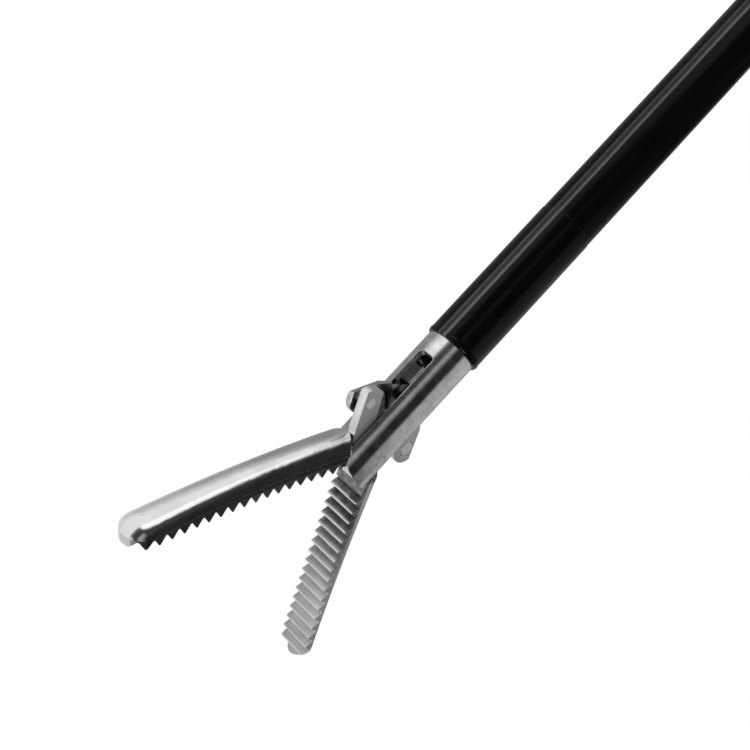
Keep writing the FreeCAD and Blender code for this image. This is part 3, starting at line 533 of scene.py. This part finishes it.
def ribbedPad(name, s, face):
    start, end = np.array(s["start"]), np.array(s["end"])
    length = np.linalg.norm(end - start)
    ahead = (end - start) / length
    side = np.array([-ahead[1], ahead[0]])
    share = np.sin(np.linspace(-0.5 * np.pi, 0.5 * np.pi, s["stations"]))
    swell = np.maximum(1.0 - np.abs(share) ** s["oblong"], 0.0) ** (1.0 / s["oblong"])
    swell = np.maximum(swell, s["endWidth"])
    wide, high = roundedBar(s["around"], s["corner"])
    along = 0.5 * (share + 1.0)[:, None] * length
    across = swell[:, None] * s["halfWidth"] * wide
    rib = (0.5 - 0.5 * np.cos(np.pi * s["ribs"] * (share + 1.0))) ** s["ribPower"]
    rise = swell[:, None] * s["rise"] * high
    rise = rise + s["ribHeight"] * (swell * rib)[:, None] * ribMask(wide, high, s)
    plane = start + along[..., None] * ahead + across[..., None] * side
    height = face * (s["seat"] + rise)
    grid = np.concatenate([plane, height[..., None]], axis=-1)
    return closedGrid(name, grid if face > 0 else grid[:, ::-1], capped=True)


softPieces = [
    (lining("loopLining", loopLining), "handle"),
    (lining("ringLining", ringLining), "lever"),
    (ribbedPad("gripPadUpper", gripPad, 1), "handle"),
    (ribbedPad("gripPadLower", gripPad, -1), "handle"),
]
for piece, body in softPieces:
    piece.data.materials.append(finishes["soft_rubber"])
    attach(piece, body)
print("soft linings and pads made:", len(softPieces))


# Floor and light: a floor that is white to the camera and, in reflections, shaded under the
# object, a studio of soft walls that only reflections see, and three soft lamps. A wall is a
# level and, for each limit, an axis with the places on it of no light and of full light.
stage = {
    "floorGap": 0.004,
    "floorHalf": 30.0,
    "floorColour": (0.9, 0.9, 0.9, 1),
    "floorRough": 0.9,
    "floorWhite": 0.97,
    "shade": 0.32,
    "frontNone": -0.004,
    "frontFull": -0.026,
    "tipNone": 0.008,
    "tipFull": 0.032,
    "tipLight": 0.75,
    "even": 0.55,
    "ceiling": 0.015,
    "walls": {
        "left": (1.35, [((-0.766, -0.643, 0), 0.87, 0.955), ((0, 0, 1), 0.45, 0.25)]),
        "far": (0.42, [((1, 0, 0), -0.45, -0.25), ((0, 1, 0), 0.0, 0.3), ((0, 0, 1), 0.52, 0.40)]),
        "farTop": (0.50, [
            ((-1, 0, 0), 0.02, 0.09), ((1, 0, 0), -0.45, -0.28), ((0, 1, 0), -0.06, 0.18),
        ]),
        "end": (0.35, [((1, 0, 0), 0.2, 0.6), ((0, 0, 1), 0.5, 0.2)]),
        "near": (0.28, [((0, 0, 1), 0.32, -0.05)]),
        "rim": (0.42, [((0, -1, 0), 0.50, 0.80), ((0, 0, 1), 0.45, 0.60), ((1, 0, 0), -0.5, -0.3)]),
        "haze": (0.055, [((0, 0, 1), 0.84, 0.70), ((0, -1, 0), 0.1, 0.4)]),
    },
    "boxes": [
        ("keyBox", (0.45, -0.15, 0.60), (0.35, 0.35), 1.20),
        ("backBox", (-0.62, 0.25, 0.40), (0.40, 0.30), 0.60),
        ("frontBox", (0.45, -0.60, 0.12), (0.35, 0.20), 0.20),
    ],
}


# 1 for camera rays, and 1 for glossy and transmission rays
def raysOf(tree):
    paths = tree.nodes.new("ShaderNodeLightPath")
    glossy, through = paths.outputs["Is Glossy Ray"], paths.outputs["Is Transmission Ray"]
    return paths.outputs["Is Camera Ray"], arithmetic(tree, "MAXIMUM", glossy, through)


def whiteFloor(s, low):
    mesh = bpy.data.meshes.new("floor")
    half = s["floorHalf"]
    corners = [(-half, -half, low), (half, -half, low), (half, half, low), (-half, half, low)]
    mesh.from_pydata(corners, [], [(0, 1, 2, 3)])
    floor = bpy.data.objects.new("floor", mesh)
    scene.collection.objects.link(floor)
    material = bpy.data.materials.new("floorWhite")
    material.use_nodes = True
    tree = material.node_tree
    shader = tree.nodes["Principled BSDF"]
    shader.inputs["Base Color"].default_value = s["floorColour"]
    shader.inputs["Roughness"].default_value = s["floorRough"]
    glow = tree.nodes.new("ShaderNodeEmission")
    mix = tree.nodes.new("ShaderNodeMixShader")
    seen, mirrored = raysOf(tree)
    place = tree.nodes.new("ShaderNodeTexCoord").outputs["Object"]
    inFront = softStep(tree, dot(tree, place, (0, 1, 0)), s["frontNone"], s["frontFull"])
    pastTip = softStep(tree, dot(tree, place, (1, 0, 0)), s["tipNone"], s["tipFull"])
    lit = arithmetic(tree, "MAXIMUM", inFront, product(tree, pastTip, s["tipLight"]))
    tone = span(tree, lit, s["shade"], 1.0)
    tree.links.new(arithmetic(tree, "MAXIMUM", seen, tone), glow.inputs["Color"])
    share = product(tree, arithmetic(tree, "MAXIMUM", seen, mirrored), s["floorWhite"])
    tree.links.new(share, mix.inputs[0])
    tree.links.new(shader.outputs[0], mix.inputs[1])
    tree.links.new(glow.outputs[0], mix.inputs[2])
    tree.links.new(mix.outputs[0], tree.nodes["Material Output"].inputs["Surface"])
    mesh.materials.append(material)


def softBox(name, place, size, power):
    data = bpy.data.lights.new(name, "AREA")
    data.shape = "RECTANGLE"
    data.size, data.size_y = size
    data.energy = power
    light = bpy.data.objects.new(name, data)
    scene.collection.objects.link(light)
    light.location = place
    light.rotation_euler = (-Vector(place)).to_track_quat("-Z", "Y").to_euler()


# One wall of the studio: its level times a soft step for each limit, along a direction
def studioWall(tree, direction, level, limits):
    value = level
    for axis, nothing, full in limits:
        value = product(tree, value, softStep(tree, dot(tree, direction, axis), nothing, full))
    return value


# Reflections see the walls of the studio, the camera sees white and all else is lit evenly
def studioWorld(s):
    world = bpy.data.worlds.new("studio")
    scene.world = world
    world.use_nodes = True
    tree = world.node_tree
    direction = tree.nodes.new("ShaderNodeTexCoord").outputs["Generated"]
    seen = s["ceiling"]
    for level, limits in s["walls"].values():
        seen = arithmetic(tree, "MAXIMUM", seen, studioWall(tree, direction, level, limits))
    camera, mirrored = raysOf(tree)
    rest = arithmetic(tree, "SUBTRACT", 1.0, arithmetic(tree, "ADD", camera, mirrored))
    glow = arithmetic(tree, "ADD", product(tree, seen, mirrored), product(tree, rest, s["even"]))
    glow = arithmetic(tree, "ADD", glow, camera)
    tree.links.new(glow, tree.nodes["Background"].inputs["Color"])


whiteFloor(stage, cadBox[0][2] - stage["floorGap"])
for row in stage["boxes"]:
    softBox(*row)
studioWorld(stage)
scene.view_settings.view_transform = "Standard"
print("stage set")
